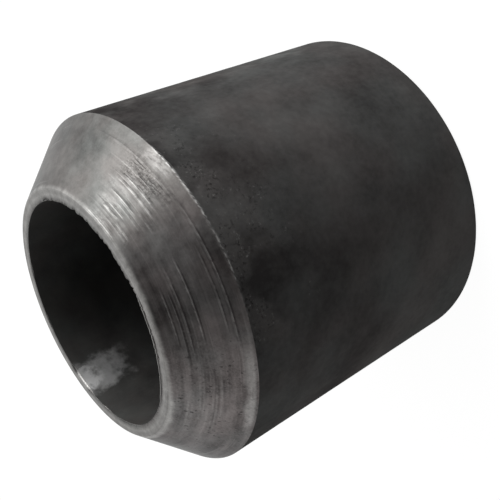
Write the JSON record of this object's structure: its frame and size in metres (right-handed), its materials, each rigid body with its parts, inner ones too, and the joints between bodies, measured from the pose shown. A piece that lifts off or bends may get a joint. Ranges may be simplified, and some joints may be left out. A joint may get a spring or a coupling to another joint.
{
  "type": "weld bung",
  "caption": "Short thick-walled steel tube with a machined weld bevel and root face on one end, and a parallel pipe thread tapped into its square end.",
  "frame": {"origin": "centre of the square, tapped end, which the bung stands on", "axes": "+Z along the bung's axis, from the square end to the weld bevel; X and Y are free, because the outside is a body of revolution"},
  "size_m": [0.03, 0.03, 0.0296],
  "materials": {
    "steel": "black mill scale on the outside, with the weld bevel, root face and square end machined to bare grey steel"
  },
  "bodies": {
    "root": {"weld_bung": "steel"}
  },
  "joints": []
}
